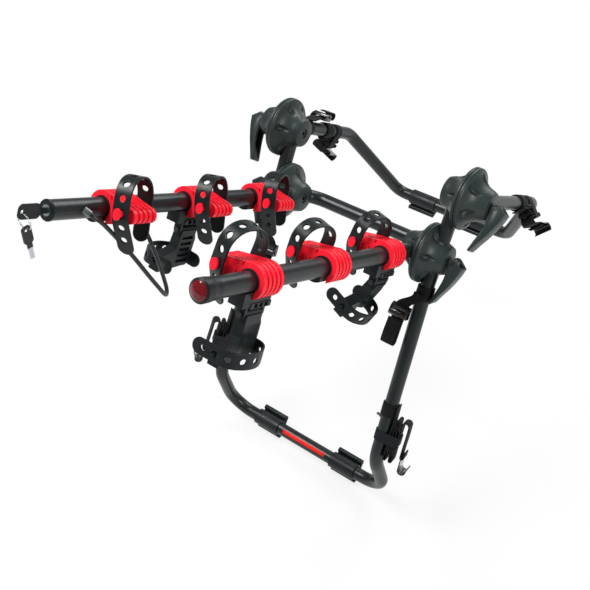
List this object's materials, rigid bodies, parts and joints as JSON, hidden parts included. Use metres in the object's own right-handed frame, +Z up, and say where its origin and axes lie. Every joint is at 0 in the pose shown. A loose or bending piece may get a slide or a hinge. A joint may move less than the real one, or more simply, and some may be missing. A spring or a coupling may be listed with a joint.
{
  "type": "trunk mounted bike rack",
  "caption": "Folding tubular rack that straps to a car's trunk: clamp hubs, padded feet, two arms with strap cradles, swinging seat-tube holders and a locking cable.",
  "frame": {"origin": "middle of the two lower pads' contact faces, on the mirror plane of the frame", "axes": "+Z up, +Y toward the car, +X to the right seen from behind the car"},
  "size_m": [0.5164, 0.988, 0.7969],
  "materials": {
    "frame_paint": "satin",
    "hub_plastic": "semi-matte",
    "lever_plastic": "semi-matte",
    "strap_rubber": "satin",
    "liner_rubber": "matte",
    "cradle_plastic": "satin",
    "pad_rubber": "satin",
    "fastener_steel": "dark zinc",
    "lock_metal": "bright",
    "key_plastic": "gloss",
    "cable_jacket": "satin",
    "reflector_red": "faceted",
    "buckle_metal": "satin black",
    "webbing": "woven",
    "black_plastic": "satin"
  },
  "bodies": {
    "main_frame": {"main_frame_tube": "frame_paint", "upper_hub_inner_left": "hub_plastic", "upper_hub_inner_right": "hub_plastic", "lower_hub_outer_left": "hub_plastic", "lower_hub_outer_right": "hub_plastic", "axle_bolts": "fastener_steel", "lever_pins": "fastener_steel", "foot_pads": "pad_rubber", "side_straps": "webbing", "side_buckles": "buckle_metal", "lower_straps": "webbing", "lower_hooks": "buckle_metal", "leg_screws": "fastener_steel"},
    "upper_frame": {"upper_frame_tube": "frame_paint", "upper_hub_outer_left": "hub_plastic", "upper_hub_outer_right": "hub_plastic", "trunk_pads": "pad_rubber", "upper_straps": "webbing", "upper_hooks": "buckle_metal", "upper_buckle": "buckle_metal"},
    "arms": {"arm_tube_left": "frame_paint", "arm_tube_right": "frame_paint", "cable_fittings": "lock_metal", "cradle_left_far": "cradle_plastic", "cradle_left_middle": "cradle_plastic", "cradle_left_near": "cradle_plastic", "cradle_right_far": "cradle_plastic", "cradle_right_middle": "cradle_plastic", "cradle_right_near": "cradle_plastic", "cradle_sleeves": "liner_rubber", "cradle_strap_left_far": "strap_rubber", "cradle_strap_left_middle": "strap_rubber", "cradle_strap_left_near": "strap_rubber", "cradle_strap_right_far": "strap_rubber", "cradle_strap_right_middle": "strap_rubber", "cradle_strap_right_near": "strap_rubber", "cross_tube": "frame_paint", "end_cap_left": "black_plastic", "end_cap_right": "black_plastic", "holder_mounts": "black_plastic", "lock_cable": "cable_jacket", "lower_hub_inner_left": "hub_plastic", "lower_hub_inner_right": "hub_plastic", "pivot_screws": "fastener_steel", "reflector": "reflector_red", "tube_clips": "black_plastic"},
    "lower_lever_left": {"lower_lever_left": "lever_plastic"},
    "lower_lever_right": {"lower_lever_right": "lever_plastic"},
    "upper_lever_left": {"upper_lever_left": "lever_plastic"},
    "upper_lever_right": {"upper_lever_right": "lever_plastic"},
    "lock": {"lock_cylinder": "lock_metal", "key": "key_plastic"},
    "key_ring": {"key_ring": "lock_metal"},
    "spare_key": {"spare_key": "key_plastic"},
    "holder_right_near": {"holder_right_near": "black_plastic", "holder_strap_right_near": "strap_rubber"},
    "holder_left_middle": {"holder_left_middle": "black_plastic", "holder_strap_left_middle": "strap_rubber"},
    "holder_right_far": {"holder_right_far": "black_plastic", "holder_strap_right_far": "strap_rubber"}
  },
  "joints": [
    {"name": "arms_fold", "type": "hinge", "parent": "main_frame", "child": "arms", "pos_m": [0, 0.11968, 0.48987], "axis": [1, 0, 0], "range_deg": [-60, 25]},
    {"name": "upper_frame_fold", "type": "hinge", "parent": "main_frame", "child": "upper_frame", "pos_m": [0, 0.16864, 0.58893], "axis": [1, 0, 0], "range_deg": [-45, 60]},
    {"name": "lower_lever_left_swing", "type": "hinge", "parent": "main_frame", "child": "lower_lever_left", "pos_m": [-0.2046, 0.11968, 0.48987], "axis": [0, 0.8965, -0.4431], "range_deg": [0, 110]},
    {"name": "lower_lever_right_swing", "type": "hinge", "parent": "main_frame", "child": "lower_lever_right", "pos_m": [0.2046, 0.11968, 0.48987], "axis": [0, -0.8965, 0.4431], "range_deg": [0, 110]},
    {"name": "upper_lever_left_swing", "type": "hinge", "parent": "main_frame", "child": "upper_lever_left", "pos_m": [-0.2426, 0.16864, 0.58893], "axis": [0, 0.7848, -0.6198], "range_deg": [0, 110]},
    {"name": "upper_lever_right_swing", "type": "hinge", "parent": "main_frame", "child": "upper_lever_right", "pos_m": [0.2426, 0.16864, 0.58893], "axis": [0, -0.7848, 0.6198], "range_deg": [0, 110]},
    {"name": "holder_right_near_swing", "type": "hinge", "parent": "arms", "child": "holder_right_near", "pos_m": [0.133, -0.32116, 0.65643], "axis": [0, -0.8965, 0.4431], "range_deg": [-30, 30]},
    {"name": "holder_left_middle_swing", "type": "hinge", "parent": "arms", "child": "holder_left_middle", "pos_m": [-0.133, -0.16337, 0.57845], "axis": [0, -0.8965, 0.4431], "range_deg": [-30, 30]},
    {"name": "holder_right_far_swing", "type": "hinge", "parent": "arms", "child": "holder_right_far", "pos_m": [0.133, -0.00559, 0.50047], "axis": [0, -0.8965, 0.4431], "range_deg": [-30, 30]},
    {"name": "lock_turn", "type": "hinge", "parent": "arms", "child": "lock", "pos_m": [-0.133, -0.40656, 0.74995], "axis": [0, -0.8965, 0.4431], "range_deg": [0, 90]},
    {"name": "key_ring_swing", "type": "hinge", "parent": "lock", "child": "key_ring", "pos_m": [-0.133, -0.4452, 0.767], "axis": [1, 0, 0], "range_deg": [-20, 20]},
    {"name": "spare_key_swing", "type": "hinge", "parent": "key_ring", "child": "spare_key", "pos_m": [-0.133, -0.4452, 0.742], "axis": [1, 0, 0], "range_deg": [-20, 20]}
  ]
}
